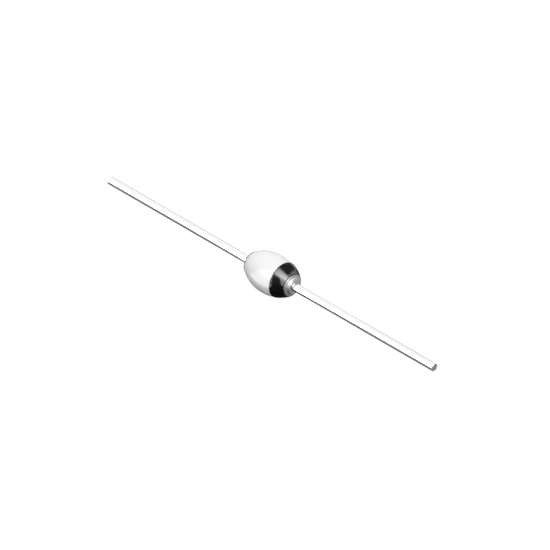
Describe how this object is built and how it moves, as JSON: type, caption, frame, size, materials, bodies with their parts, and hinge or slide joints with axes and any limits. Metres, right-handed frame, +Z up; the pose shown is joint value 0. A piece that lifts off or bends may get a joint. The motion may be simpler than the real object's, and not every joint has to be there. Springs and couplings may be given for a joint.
{
  "type": "axial rectifier diode",
  "caption": "Axial-lead diode: a fused white glass bead between metal slugs, a dark painted band at the cathode end and a straight plated wire out of each end.",
  "frame": {"origin": "middle of the bead, on the axis of the leads", "axes": "+X along the leads towards the cathode, the banded end; +Z up; the part is round about X"},
  "size_m": [0.043, 0.004, 0.004],
  "materials": {
    "bead_glass": "opaque white fired glass, glossy",
    "band_paint": "black glossy paint",
    "silicon": "dark grey silicon, etched flanks",
    "foil": "plain",
    "slug_metal": "ground grey molybdenum",
    "braze": "satin silver-copper braze",
    "lead_plating": "bright tin plating on copper wire"
  },
  "bodies": {
    "root": {"glass_bead": "bead_glass", "cathode_band": "band_paint", "silicon_die": "silicon", "anode_foil": "foil", "cathode_foil": "foil", "anode_slug": "slug_metal", "cathode_slug": "slug_metal", "anode_braze": "braze", "cathode_braze": "braze", "anode_lead": "lead_plating", "cathode_lead": "lead_plating"}
  },
  "joints": []
}
